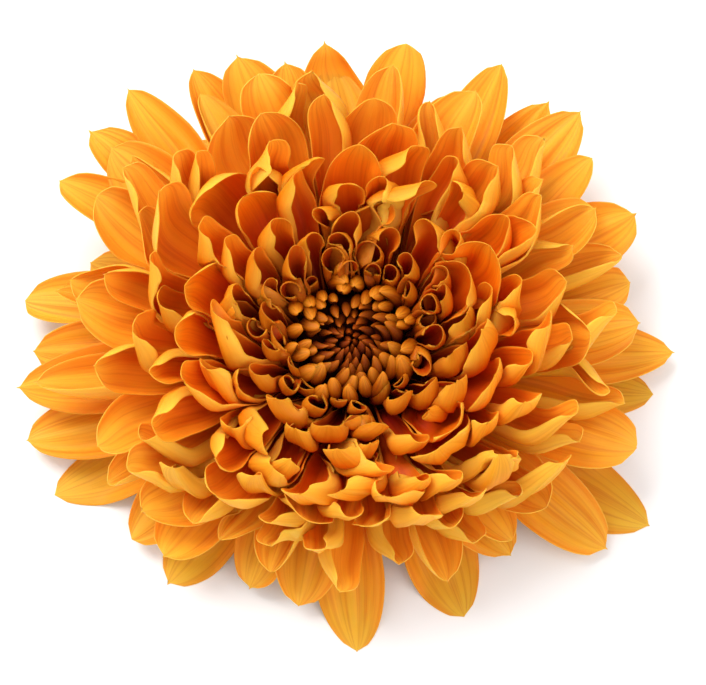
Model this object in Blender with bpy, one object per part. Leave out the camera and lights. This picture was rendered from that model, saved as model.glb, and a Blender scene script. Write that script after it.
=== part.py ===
"""A chrysanthemum flower, as picked, in metres with +Z up.

The head lies face up. Its lowest florets rest on the surface at z = 0, and a short cut stalk hangs clear below it.
Each opened floret is one thin blade: a centreline that rises from the receptacle and hooks up at its tip, and a
cross-section that curls into a trough, with one margin often rolled over it. The rule's numbers change with a
floret's age, from 0 beside the unopened middle to 1 at the rim. The solids hold every third inner floret.
"""

import math

import bmesh
import bpy
import numpy as np
from mathutils import Matrix, Vector
from mathutils.bvhtree import BVHTree

MM = 0.001
GOLDEN_ANGLE = math.radians(137.508)
FORM_SEED = 21
DETAIL_SEED = 4

# Driving dimensions of the head, in millimetres.
BLADE_THICKNESS = 0.7
BLADE_GAP = 1.1
INNER_COUNT = 190
INNER_STEP = 3
INNER_WIDER = 1.2
CLOSED_BEFORE = 100
CENTRE_COUNT = 60
CENTRE_RADIUS = 8.0
CENTRE_FLOOR = 14.0
BRACT_COUNT = 16
STALK_RADIUS = 2.2
STALK_END = 0.5
NODE_GAP = 0.3

# The whorls at the rim, as the photo shows their tips: direction in degrees, reach and tip height in millimetres,
# and how pointed the tip is. A tip height of 0 is a floret that rests on the surface.
RIM_FLORETS = (
    (95, 48.4, 18, 0.8), (80, 48.6, 19, 0.1), (63, 51.6, 15, 0.7), (53, 50.9, 12, 0.7),
    (47, 52.0, 15, 0.6), (39, 47.8, 16, 0.6), (27, 49.0, 12, 0.1), (15, 44.6, 11, 0.1),
    (8, 44.7, 7, 0.2), (3, 50.1, 3, 0.8), (356, 47.2, 0, 0.7), (342, 45.0, 6, 0.1),
    (332, 52.0, 0, 0.8), (324, 48.2, 2, 0.2), (309, 38.5, 4, 0.5), (294, 42.5, 0, 0.7),
    (271, 44.1, 0, 0.7), (258, 38.8, 4, 0.4), (246, 38.2, 3, 0.3), (230, 43.7, 0, 0.4),
    (219, 43.5, 3, 0.6), (203, 50.0, 0, 0.7), (193, 51.4, 3, 0.4), (185, 51.3, 8, 0.7),
    (178, 49.1, 7, 0.4), (168, 52.1, 4, 0.1), (149, 52.4, 14, 0.5), (139, 53.6, 14, 0.3),
    (130, 54.0, 16, 0.7), (119, 50.6, 17, 0.6), (111, 49.2, 18, 0.2), (103, 45.7, 19, 0.3),
    (34, 44.0, 0, 0.4), (71, 45.5, 0, 0.4), (88, 43.0, 2, 0.4), (124, 46.5, 0, 0.4), (156, 45.0, 0, 0.4),
)

LONG_ROWS = (0.1, 0.4, 0.66, 0.86, 0.985)
SHORT_ROWS = (0.12, 0.5, 0.77, 0.98)
SHORT_AGE = 0.58
FLAT_COLUMNS = (-1.0, 0.0, 1.0)
TUBE_COLUMNS = (-1.0, -0.42, 0.42, 1.0)
ROLLED_COLUMNS = (-1.0, 0.0, 0.5, 1.0)
TUBE_AGE = 0.15
RIM_AGE = 0.85
RIM_FOLD = 0.4
RIM_WIDTH = 11.2
WIDEST_CURL = 2.3

# A resting floret's tip is aimed this far below the surface, and what would lie below the surface lies flat on it.
REST_DIP = 2.0

# How the florets are moved apart: the number of passes, how far off another floret is looked for, how squarely it
# has to face the point, and the share of a move that the whole row of points makes together.
NESTLE_PASSES = 3
NESTLE_REACH = 2.5
NESTLE_FACING = 0.6
ROW_SHARE = 0.55

STEPS = (np.arange(24) + 0.5) / 24

draw = np.random.default_rng(FORM_SEED)
detail = np.random.default_rng(DETAIL_SEED)


def ease(x):
    x = np.clip(x, 0, 1)
    return x * x * (3 - 2 * x)


def by_age(age, *points):
    """The value at this age, on straight lines between (age, value) points."""
    ages, values = zip(*points)
    return float(np.interp(age, ages, values))


def spread(width, source=draw):
    """A small random difference, as between two florets of one plant."""
    return float(np.clip(source.normal(0, width), -2 * width, 2 * width))


def aimed(floret, reach, height):
    """Sets the pitch, length and direction with which the floret's tip lands at this reach and height."""
    bow = floret["bend"] * (STEPS - 0.5) + floret["hook"] * ease((STEPS - 0.6) / 0.4)
    along, rise = np.cos(bow).mean(), np.sin(bow).mean()
    d_reach, d_height = reach - floret["root_reach"], height - floret["root_height"]
    floret["pitch"] = math.atan2(d_height, d_reach) - math.atan2(rise, along)
    floret["length"] = math.hypot(d_reach, d_height) / math.hypot(along, rise)
    floret["direction"] += math.atan2((floret["lean"] - floret["beak"]) * floret["length"], reach)
    return floret


def opened_floret(age, direction, reach, height, point):
    """One ray floret: sizes in millimetres. Most florets roll the margin that lies towards the lower side (-Y)."""
    lower = -1 if math.cos(direction) < 0 else 1
    draw_roll, draw_side = draw.random(), draw.random()
    rolled = draw_roll < by_age(age, (0, 0.5), (0.2, 0.75), (0.6, 0.75), (0.85, 0.6), (1, 0.25))
    side = lower if draw_side < 0.85 else -lower
    facing = max(0.0, math.cos(direction + math.radians(75)))
    floret = {
        "age": age,
        "direction": direction,
        "root_reach": by_age(age, (0, 7.0), (0.3, 7.4), (1, 7.6)),
        "root_height": by_age(age, (0, 12.0), (0.3, 11.5), (0.6, 10.4), (1, 8.8)),
        "bend": by_age(age, (0, 20), (0.2, 14), (0.35, 8), (0.5, 4), (0.8, -8), (1, -30)) + spread(7),
        "hook": by_age(age, (0, 28), (0.1, 40), (0.25, 46), (0.5, 46), (0.7, 38), (1, 20)) + spread(12),
        "curl": by_age(
            age, (0, 3.1), (0.08, 2.8), (0.16, 2.2), (0.3, 1.7), (0.5, 1.4), (0.65, 1.2), (0.8, 1), (1, 0.7)
        ),
        "root_curl": by_age(age, (0, 3.0), (0.4, 2.5), (1, 1.6)),
        "claw": by_age(age, (0, 0.38), (0.3, 0.24), (1, 0.20)),
        "widest": by_age(age, (0, 0.70), (0.5, 0.70), (1, 0.66)),
        "roll": by_age(age, (0, 1.0), (0.1, 1.1), (0.2, 1.3), (0.35, 1.5), (0.6, 1.7), (1, 1.9)),
        "blunt": by_age(age, (0, 0.5), (0.08, 0.36), (0.16, 0.12), (0.3, 0.06), (1, 0.05)),
        "point": point,
        "width": by_age(
            age, (0, 7.6), (0.06, 9.0), (0.15, 10.4), (0.3, 11.8), (0.5, 12.6), (0.8, 12.6), (1, 11.8)
        ),
        "held": False,
        "rolled": rolled,
        "side": side,
    }
    floret["curl"] += spread(0.12)
    floret["tip_curl"] = floret["curl"] * by_age(age, (0, 0.95), (0.3, 0.8), (1, 0.6)) + spread(0.15)
    margin_turn = by_age(age, (0, 3.2), (0.2, 2.9), (0.75, 2.7), (1, 2.2)) + spread(0.2, detail)
    rolled_over = max(margin_turn - floret["curl"], 0.1)
    near_margin = rolled_over if rolled else detail.uniform(-0.2, 0.5)
    far_margin = rolled_over if detail.random() < 0.05 else detail.uniform(-0.2, 0.4)
    floret["over"] = (near_margin, far_margin) if side > 0 else (far_margin, near_margin)
    floret["lean"] = spread(0.07)
    inside_rim = age < RIM_AGE
    floret["twist"] = spread(0.15) + (spread(0.18, detail) + 0.18 * side * rolled) * inside_rim
    floret["beak"] = (0.09 * side * rolled + spread(0.06, detail)) * inside_rim
    more_hook = 22 * facing * by_age(age, (0, 0), (0.15, 1), (0.7, 1), (0.95, 0))
    more_hook += detail.uniform(15, 45) * (detail.random() < 0.06) * (age > 0.12)
    floret["hook"] = math.radians(floret["hook"] + more_hook)
    floret["bend"] = math.radians(floret["bend"])
    sharper = detail.uniform(0.2, 0.5)
    if rolled:
        floret["point"] = min(point + 0.6 * sharper, 1.0)
        floret["width"] *= 0.9
    floret["width"] *= 1 + spread(0.07, detail)
    return aimed(floret, reach, height)


def rim_florets():
    for direction, reach, height, point in RIM_FLORETS:
        rests = height == 0
        aim = -REST_DIP if rests else height
        floret = opened_floret(1 - 0.007 * height, math.radians(direction), reach, aim, point)
        floret.update(held=True, point=0.75 * point, width=max(floret["width"], RIM_WIDTH))
        floret["over"] = tuple(RIM_FOLD * turn for turn in floret["over"])
        if rests:
            floret.update(tip_curl=0.05, twist=0, over=(0, 0), rolled=False)
        yield floret


def near_rim(direction, column):
    """The rim's own reach or height in this direction, averaged over the rim florets near it."""
    rim = np.array(RIM_FLORETS)
    apart = (rim[:, 0] - math.degrees(direction) + 180) % 360 - 180
    near = np.exp(-((apart / 15) ** 2))
    return float((rim[:, column] * near).sum() / near.sum())


def inner_florets():
    """The whorls between the middle and the rim, each floret turned by the golden angle from the last."""
    for index in range(INNER_COUNT):
        age = 0.96 * (index / (INNER_COUNT - 1)) ** 1.15
        direction = (CLOSED_BEFORE + index) * GOLDEN_ANGLE + spread(0.06)
        reach = by_age(
            age, (0, 11.2), (0.1, 14.2), (0.2, 18.5), (0.35, 25), (0.5, 31), (0.65, 36.5), (0.8, 41.5), (0.96, 46.5)
        )
        height = by_age(
            age, (0, 22.5), (0.1, 25.5), (0.2, 28), (0.35, 30), (0.5, 29.5), (0.65, 26), (0.8, 20), (0.96, 12)
        )
        outer = float(ease((age - 0.3) / 0.6))
        reach *= 1 + 1.1 * outer * (near_rim(direction, 1) / 48.5 - 1) + spread(0.025) + spread(0.03, detail)
        height += 0.6 * outer * (near_rim(direction, 2) - 8) + spread(1.0) + spread(0.6, detail)
        yield opened_floret(age, direction, reach, height, 0.6 * detail.random() ** 3)


def blade_points(floret, s, t):
    """Points of the blade's middle surface, s from root to tip and t from margin to margin, in millimetres."""
    length, half = floret["length"], floret["width"] / 2

    def pitch(x):
        return floret["pitch"] + floret["bend"] * (x - 0.5) + floret["hook"] * ease((x - 0.6) / 0.4)

    walk = pitch(s[:, None] * STEPS)
    out, up = length * s * np.cos(walk).mean(1), length * s * np.sin(walk).mean(1)
    swell = floret["claw"] + (1 - floret["claw"]) * ease((s - 0.15) / (floret["widest"] - 0.15))
    past = np.clip((s - floret["widest"]) / (1 - floret["widest"]), 0, 1)
    ending = np.maximum(1 - past ** (2.5 - 1.1 * floret["point"]), 0) ** (0.5 + 0.35 * floret["point"])
    taper = floret["blunt"] + (1 - floret["blunt"]) * ending
    wide = half * swell * taper
    curl = floret["root_curl"] + (floret["curl"] - floret["root_curl"]) * ease((s - 0.08) / 0.5)
    curl = curl + (floret["tip_curl"] - floret["curl"]) * ease((s - 0.6) / 0.4)
    curl = np.minimum(curl, WIDEST_CURL)
    reach = t[:, None] * STEPS
    fold = ease((s - 0.28) / 0.36) * np.where(t > 0, *floret["over"]) * taper**0.25
    turn = (curl * taper**0.4)[:, None] * np.abs(reach) ** floret["roll"]
    turn = (turn + fold[:, None] * ease((np.abs(reach) - 0.12) / 0.58)) * np.sign(reach)
    across, deep = wide * t * np.cos(turn).mean(1), wide * t * np.sin(turn).mean(1)
    twist = floret["twist"] * s**1.5
    across, deep = across * np.cos(twist) - deep * np.sin(twist), across * np.sin(twist) + deep * np.cos(twist)
    across = across + floret["lean"] * length * s**2 - floret["beak"] * length * ease((s - 0.7) / 0.3) ** 2
    out, up = out - deep * np.sin(pitch(s)), up + deep * np.cos(pitch(s))
    radius = floret["root_reach"] + out
    c, d = math.cos(floret["direction"]), math.sin(floret["direction"])
    return np.stack([radius * c + across * d, radius * d - across * c, floret["root_height"] + up], 1)


def middle_radius(height):
    """Radius of the space that the unopened florets fill, at this height."""
    heights = (CENTRE_FLOOR, CENTRE_FLOOR + 0.9, CENTRE_FLOOR + 5)
    return np.interp(height, heights, (0, CENTRE_RADIUS - 1.6, CENTRE_RADIUS))


def clear_of_middle(points, margin):
    """Moves points that reach into that space straight out of it."""
    radius = np.hypot(points[:, 0], points[:, 1])
    push = np.maximum((middle_radius(points[:, 2]) + margin) / np.maximum(radius, 1e-6), 1)
    points[:, :2] *= push[:, None]
    return points


def columns_of(floret):
    """Where the blade's lengthwise lines of points run, from margin to margin: more of them where it is rolled."""
    if floret["age"] < TUBE_AGE:
        return TUBE_COLUMNS
    if not floret["rolled"]:
        return FLAT_COLUMNS
    return ROLLED_COLUMNS if floret["side"] > 0 else tuple(-t for t in reversed(ROLLED_COLUMNS))


def rows_of(floret):
    return SHORT_ROWS if floret["age"] < SHORT_AGE else LONG_ROWS


def middle_grid(floret):
    columns, rows = columns_of(floret), rows_of(floret)
    s, t = np.repeat(rows, len(columns)), np.tile(columns, len(rows))
    points = clear_of_middle(blade_points(floret, s, t), NODE_GAP + BLADE_THICKNESS)
    return points.reshape(len(rows), len(columns), 3)


def nestled(florets):
    """Each floret's grid of points, moved to the back of every younger floret that it would cut through."""
    younger = []
    for floret in florets:
        grid = middle_grid(floret)
        start = grid.copy()
        rows, columns = grid.shape[:2]
        for _ in range(NESTLE_PASSES):
            shift = np.zeros_like(grid)
            low, high = grid.min((0, 1)) - 1, grid.max((0, 1)) + 1
            near = [tree for tree, bottom, top in younger if (bottom < high).all() and (top > low).all()]
            for r, c in np.ndindex(rows, columns):
                point = Vector(grid[r, c])
                for tree in near:
                    hit, normal, _, distance = tree.find_nearest(point, NESTLE_REACH)
                    if hit is None:
                        continue
                    depth = (point - hit).dot(normal)
                    if depth > -BLADE_GAP and abs(depth) > NESTLE_FACING * distance:
                        shift[r, c] -= np.array(normal) * (depth + BLADE_GAP)
            grid = grid + (1 - ROW_SHARE) * shift + ROW_SHARE * shift.mean(1, keepdims=True)
        along = np.array(rows_of(floret))[:, None, None]
        moved = (grid - start) * ease(along / 0.4)
        if floret["held"]:
            moved *= 1 - along**3
        grid = start + moved
        cells = [
            (r * columns + c, r * columns + c + 1, (r + 1) * columns + c + 1, (r + 1) * columns + c)
            for r in range(rows - 1) for c in range(columns - 1)
        ]
        flat = clear_of_middle(grid.reshape(-1, 3), NODE_GAP + BLADE_THICKNESS)
        younger.append((BVHTree.FromPolygons([Vector(p) for p in flat], cells), flat.min(0), flat.max(0)))
        yield floret, flat.reshape(grid.shape)


def bract(index):
    """One green bract under the head, in two whorls that alternate."""
    outer = index % 2
    floret = {
        "age": 1,
        "rolled": False,
        "direction": 2 * math.pi * index / BRACT_COUNT + spread(0.03),
        "root_reach": 4.4,
        "root_height": 4.9 - 0.7 * outer,
        "bend": math.radians(-20),
        "hook": math.radians(25),
        "width": 3.3 + spread(0.2),
        "curl": 0.5,
        "root_curl": 0.5,
        "tip_curl": 0.2,
        "roll": 1.6,
        "over": (0, 0),
        "claw": 0.7,
        "widest": 0.45,
        "blunt": 0.16,
        "point": 1.0,
        "lean": spread(0.05),
        "beak": 0,
        "twist": 0,
    }
    return aimed(floret, 11.6 - 0.9 * outer, 7.0 - 1.1 * outer + spread(0.15))


def blade_mesh(grid, name):
    """A closed blade of one thickness round a grid of points, each quad split alike on both faces."""
    rows, columns = grid.shape[:2]
    normal = np.cross(np.gradient(grid, axis=1), np.gradient(grid, axis=0)).reshape(-1, 3)
    normal /= np.linalg.norm(normal, axis=1)[:, None]
    middle = grid.reshape(-1, 3)
    low = middle - normal * BLADE_THICKNESS / 2
    high = middle + normal * BLADE_THICKNESS / 2
    lift = np.maximum(-np.minimum(low[:, 2], high[:, 2]), 0)
    low[:, 2] += lift
    high[:, 2] += lift
    count = rows * columns
    faces = []
    for r in range(rows - 1):
        for c in range(columns - 1):
            a, b = r * columns + c, r * columns + c + 1
            d, e = a + columns, b + columns
            pair = ((a, b, e), (a, e, d)) if c < columns // 2 else ((a, b, d), (b, e, d))
            for x, y, z in pair:
                faces.append((x, y, z))
                faces.append((x + count, z + count, y + count))
    ring = list(range(columns))
    ring += [r * columns + columns - 1 for r in range(1, rows)]
    ring += [(rows - 1) * columns + c for c in range(columns - 2, -1, -1)]
    ring += [r * columns for r in range(rows - 2, 0, -1)]
    for a, b in zip(ring, ring[1:] + ring[:1]):
        faces.append((b, a, a + count))
        faces.append((b, a + count, b + count))
    return mesh_of(name, np.concatenate([high, low]), faces)


def closed_floret(index):
    """One unopened floret of the middle: a closed four-sided finger that leans inwards."""
    age = (index + 0.5) / CENTRE_COUNT
    place = CENTRE_RADIUS * math.sqrt(age)
    direction = index * GOLDEN_ANGLE
    half = 0.5 * (1.0 + 1.2 * age) * (1 + spread(0.06))
    root, tip = 0.70 * place, (0.50 + 0.36 * age) * place
    low = CENTRE_FLOOR + 1.2
    high = CENTRE_FLOOR + 4.4 + 2.6 * age + spread(0.2)
    swirl = 0.35 * (1 - age)
    points = []
    for s, share in ((0.0, 0.7), (0.5, 1.0), (0.85, 0.7)):
        reach = root + (tip - root) * s + 0.10 * place * math.sin(math.pi * s)
        for k in range(4):
            turn = math.pi / 4 + k * math.pi / 2
            out, side = half * share * math.cos(turn) * 1.1, half * share * math.sin(turn) * 1.1
            points.append((reach + out, side, low + (high - low) * s, swirl * s))
    points.append((tip, 0, high, swirl))
    placed = []
    for out, side, height, angle in points:
        out = min(out, float(middle_radius(height)) - 0.05)
        c, d = math.cos(direction + angle), math.sin(direction + angle)
        placed.append((out * c - side * d, out * d + side * c, height))
    faces = [(3, 2, 1, 0)]
    for r in range(2):
        for k in range(4):
            a, b = 4 * r + k, 4 * r + (k + 1) % 4
            faces.append((a, b, b + 4, a + 4))
    faces += [(8 + k, 8 + (k + 1) % 4, 12) for k in range(4)]
    return mesh_of(f"closed_{index}", np.array(placed, float), faces)


def mesh_of(name, points, faces):
    mesh = bpy.data.meshes.new(name)
    mesh.from_pydata([tuple(p * MM) for p in points], [], faces)
    work = bmesh.new()
    work.from_mesh(mesh)
    bmesh.ops.recalc_face_normals(work, faces=work.faces)
    work.to_mesh(mesh)
    work.free()
    return mesh


def turned(name, profile, sides):
    """A closed body turned about the head's axis, from (radius, height) points that start and end on the axis."""
    points = [(0, 0, profile[0][1])]
    for radius, height in profile[1:-1]:
        for k in range(sides):
            a = 2 * math.pi * k / sides
            points.append((radius * math.cos(a), radius * math.sin(a), height))
    points.append((0, 0, profile[-1][1]))
    rings = len(profile) - 2
    faces = []
    for k in range(sides):
        n = (k + 1) % sides
        faces.append((0, 1 + n, 1 + k))
        for r in range(rings - 1):
            a, b = 1 + r * sides + k, 1 + r * sides + n
            faces.append((a, b, b + sides, a + sides))
        last = 1 + (rings - 1) * sides
        faces.append((last + k, last + n, len(points) - 1))
    return mesh_of(name, np.array(points, float), faces)


def joined(name, core, blades, color):
    """One solid from the core and every blade that stands out of it."""
    piece = bpy.data.objects.new(name, core)
    bpy.context.scene.collection.objects.link(piece)
    group = bpy.data.collections.new(name + "_blades")
    bpy.context.scene.collection.children.link(group)
    for mesh in blades:
        group.objects.link(bpy.data.objects.new(mesh.name, mesh))
    union = piece.modifiers.new("union", "BOOLEAN")
    union.operation = "UNION"
    union.operand_type = "COLLECTION"
    union.collection = group
    union.solver = "MANIFOLD"
    bpy.context.view_layer.update()
    graph = bpy.context.evaluated_depsgraph_get()
    whole = bpy.data.meshes.new_from_object(piece.evaluated_get(graph))
    piece.modifiers.clear()
    piece.data = whole
    whole.name = name
    for other in list(group.objects):
        bpy.data.objects.remove(other)
    bpy.data.collections.remove(group)
    keep_outer_body(whole)
    finish(piece, color)
    return piece


def keep_outer_body(mesh):
    """Fills each hollow that the union sealed and drops each loose scrap: only the largest shell stays."""
    work = bmesh.new()
    work.from_mesh(mesh)
    bmesh.ops.triangulate(work, faces=work.faces)
    work.verts.ensure_lookup_table()
    seen = set()
    shells = []
    for start in work.verts:
        if start in seen:
            continue
        seen.add(start)
        shell, edge = [start], [start]
        while edge:
            vertex = edge.pop()
            for link in vertex.link_edges:
                other = link.other_vert(vertex)
                if other not in seen:
                    seen.add(other)
                    shell.append(other)
                    edge.append(other)
        shells.append(shell)
    shells.sort(key=len)
    for shell in shells[:-1]:
        bmesh.ops.delete(work, geom=shell, context="VERTS")
    work.to_mesh(mesh)
    work.free()


def finish(piece, color):
    material = bpy.data.materials.new(piece.name)
    material.use_nodes = True
    surface = material.node_tree.nodes["Principled BSDF"]
    surface.inputs["Base Color"].default_value = (*color, 1)
    surface.inputs["Roughness"].default_value = 0.55
    piece.data.materials.clear()
    piece.data.materials.append(material)
    piece.data.shade_smooth()
    piece.data.set_sharp_from_angle(angle=math.radians(35))


def set_on_origin(pieces):
    """Puts the middle of the whole's box over the origin. The lowest florets already lie at z = 0."""
    points = np.array([v.co for piece in pieces for v in piece.data.vertices])
    shift = -(points.max(0) + points.min(0)) / 2
    for piece in pieces:
        piece.data.transform(Matrix.Translation((shift[0], shift[1], 0)))


for old in list(bpy.data.objects):
    bpy.data.objects.remove(old)

# Opened florets, on a core that is the upper part of the receptacle with the packed claws of the florets.
core = turned(
    "core",
    (
        (0, 7.0), (8.0, 7.0), (14.0, 8.8), (17.5, 12.5), (16.5, 15.2), (12.0, 16.4), (8.3, 15.8),
        (CENTRE_RADIUS - 1.0, CENTRE_FLOOR), (0, CENTRE_FLOOR),
    ),
    20,
)
rim = sorted(rim_florets(), key=lambda floret: floret["age"])
inner = list(inner_florets())[::INNER_STEP]
for floret in inner:
    floret["width"] *= INNER_WIDER
blades = [blade_mesh(grid, f"ray_{k}") for k, (_, grid) in enumerate(nestled([*inner, *rim]))]
rays = joined("ray_florets", core, blades, (0.75, 0.20, 0.02))

# Unopened florets, on the small dome at the top of the receptacle.
floor = CENTRE_FLOOR + NODE_GAP
profile = ((0, floor), (5.4, floor), (5.9, floor + 0.9), (4.2, floor + 2.2), (0, floor + 2.8))
dome = turned("dome", profile, 16)
fingers = [closed_floret(k) for k in range(CENTRE_COUNT)]
centre = joined("centre_florets", dome, fingers, (0.55, 0.20, 0.03))

# The green underside: bracts, the base of the receptacle and the cut stalk.
base = turned(
    "base",
    (
        (0, STALK_END), (STALK_RADIUS, STALK_END), (STALK_RADIUS, 3.2), (4.6, 4.1), (7.0, 5.4), (7.8, 6.7), (0, 6.7),
    ),
    20,
)
bracts = [blade_mesh(middle_grid(bract(k)), f"bract_{k}") for k in range(BRACT_COUNT)]
calyx = joined("calyx_and_stalk", base, bracts, (0.16, 0.27, 0.06))

set_on_origin([rays, centre, calyx])
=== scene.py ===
"""The looks of a chrysanthemum head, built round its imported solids, in metres with +Z up."""

import math

import bmesh
import bpy
import numpy as np
from mathutils import Matrix, Vector
from mathutils.bvhtree import BVHTree


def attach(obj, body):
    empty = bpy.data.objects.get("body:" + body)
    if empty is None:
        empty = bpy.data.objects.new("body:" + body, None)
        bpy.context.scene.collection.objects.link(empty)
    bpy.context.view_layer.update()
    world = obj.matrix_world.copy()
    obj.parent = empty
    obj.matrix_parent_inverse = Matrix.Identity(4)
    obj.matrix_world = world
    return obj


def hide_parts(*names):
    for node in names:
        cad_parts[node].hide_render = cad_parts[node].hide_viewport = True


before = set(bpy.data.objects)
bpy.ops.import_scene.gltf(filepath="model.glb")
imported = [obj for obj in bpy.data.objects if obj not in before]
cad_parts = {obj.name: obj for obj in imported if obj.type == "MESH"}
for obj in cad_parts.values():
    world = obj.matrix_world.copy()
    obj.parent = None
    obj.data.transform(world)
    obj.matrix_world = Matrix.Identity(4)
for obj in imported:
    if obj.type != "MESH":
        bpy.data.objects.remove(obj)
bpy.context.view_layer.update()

# The receptacle is the solid, domed end of the stalk that every floret grows from, and the petals' narrow claws
# stand packed round it, so one packed cushion shows between the petals. Its top is painted near black, painted
# shade in the deep gaps, and its underside has the claws' golden colour, with painted shade between the claw
# ends. Every piece grows from it. The stalk's cut end gives the head's axis.
MM = 0.001
CUT_END_TOP = 0.6 * MM
CUSHION = (
    (0, 7.2), (7.0, 7.3), (8.2, 8.6), (11.0, 10.6), (14.0, 12.4), (14.6, 13.4), (12.5, 14.4), (9.5, 14.2),
    (7.2, 13.8), (0, 13.8),
)
CUSHION_STEPS = 96
POLE_MERGE = 1e-4
RIDGE_COUNT, RIDGE_HEIGHT, RIDGE_TOP, RIDGE_FADE = 12, 0.03, 12.4, 2
FACES_DOWN = -0.2

stalk_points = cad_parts["calyx_and_stalk"].data.vertices
cut_end = np.array([v.co for v in stalk_points if v.co.z < CUT_END_TOP])
axis_x, axis_y = (cut_end.max(0) + cut_end.min(0))[:2] / 2


def linear(code):
    """A colour written as the eye reads it, in the linear numbers that a shader takes."""
    parts = [int(code[k : k + 2], 16) / 255 for k in (1, 3, 5)]
    return (*[((x + 0.055) / 1.055) ** 2.4 if x > 0.04045 else x / 12.92 for x in parts], 1.0)


def ease(x):
    x = np.clip(x, 0, 1)
    return x * x * (3 - 2 * x)


def on_axis(work):
    """Moves a mesh that was shaped in millimetres about the head's axis to its place."""
    work.transform(Matrix.Translation((axis_x, axis_y, 0)) @ Matrix.Scale(MM, 4))


def piece_of(work, name, materials, slot, *nodes):
    mesh = bpy.data.meshes.new(name)
    on_axis(work)
    work.to_mesh(mesh)
    work.free()
    piece = bpy.data.objects.new(name, mesh)
    bpy.context.scene.collection.objects.link(piece)
    for material in materials:
        mesh.materials.append(material)
    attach(piece, "root")
    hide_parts(*nodes)
    return piece


def turned(work, profile, steps):
    """Spins a profile of (radius, height) points about the head's axis and closes its poles."""
    points = [work.verts.new((radius, 0, height)) for radius, height in profile]
    edges = [work.edges.new(pair) for pair in zip(points, points[1:])]
    bmesh.ops.spin(
        work, geom=points + edges, cent=(0, 0, 0), axis=(0, 0, 1), dvec=(0, 0, 0),
        angle=2 * math.pi, steps=steps, use_merge=True, use_duplicate=False,
    )
    bmesh.ops.remove_doubles(work, verts=work.verts, dist=POLE_MERGE)
    bmesh.ops.recalc_face_normals(work, faces=work.faces)
    for face in work.faces:
        face.smooth = True


def surface(name, roughness, specular):
    material = bpy.data.materials.new(name)
    material.use_nodes = True
    shader = material.node_tree.nodes["Principled BSDF"]
    shader.inputs["Roughness"].default_value = roughness
    shader.inputs["Specular IOR Level"].default_value = specular
    return material, material.node_tree, shader


def ramp(tree, stops):
    node = tree.nodes.new("ShaderNodeValToRGB")
    node.color_ramp.elements.remove(node.color_ramp.elements[1])
    for index, (place, code) in enumerate(stops):
        stop = node.color_ramp.elements[0] if index == 0 else node.color_ramp.elements.new(place)
        stop.position = place
        stop.color = linear(code)
    return node


def spotted_with_painted_shade(name, roughness, specular, scale, stops):
    """A crowd of small round ends, each darker from its middle out: painted shade between them."""
    material, tree, shader = surface(name, roughness, specular)
    place = tree.nodes.new("ShaderNodeTexCoord")
    spots = tree.nodes.new("ShaderNodeTexVoronoi")
    spots.inputs["Scale"].default_value = scale
    tree.links.new(place.outputs["Object"], spots.inputs["Vector"])
    shade = ramp(tree, stops)
    tree.links.new(spots.outputs["Distance"], shade.inputs["Fac"])
    tree.links.new(shade.outputs["Color"], shader.inputs["Base Color"])
    return material


# Painted shade: the cushion's near-black top stands for the deep shade between the petals, and the claw ends darken
# at their edges.
cushion_painted_shade = spotted_with_painted_shade("receptacle_painted_shade", 0.9, 0.05, 900, ((0.0, "#3c0c00"), (0.6, "#200500"), (1.0, "#100200")))
claws = spotted_with_painted_shade("packed_claws_and_painted_shade", 0.7, 0.1, 700, ((0.0, "#e8b050"), (0.5, "#cc8426"), (1.0, "#9a5410")))
work = bmesh.new()
turned(work, CUSHION, CUSHION_STEPS)
for vertex in work.verts:
    turn = math.atan2(vertex.co.y, vertex.co.x)
    ridge = 1 + RIDGE_HEIGHT * math.sin(RIDGE_COUNT * turn) * float(ease((RIDGE_TOP - vertex.co.z) / RIDGE_FADE))
    vertex.co.x *= ridge
    vertex.co.y *= ridge
for face in work.faces:
    if face.normal.z < FACES_DOWN:
        face.material_index = 1
piece_of(work, "receptacle", [cushion_painted_shade, claws], "ray_petal", "ray_florets")

# The opened florets are the petals: each is one thin satin blade, deep orange inside, golden on its back and
# along its margin. It grows from the receptacle by a narrow claw, and its sides curl up into a trough. Lengths are
# in millimetres, and age runs from 0 at the middle to 1 at the rim.
GOLDEN_ANGLE = math.radians(137.508)
PETAL_COUNT = 190
CLOSED_COUNT = 100
MIDDLE_RADIUS = 9.8
PETAL_THICKNESS = 0.14
FLOOR_GAP = 0.03
LOWEST = PETAL_THICKNESS + FLOOR_GAP
# The steps in which a blade's bends are added up, and where along it its tip part starts and how long that is.
STEPS = (np.arange(24) + 0.5) / 24
TIP_PART = (0.6, 0.4)
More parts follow.
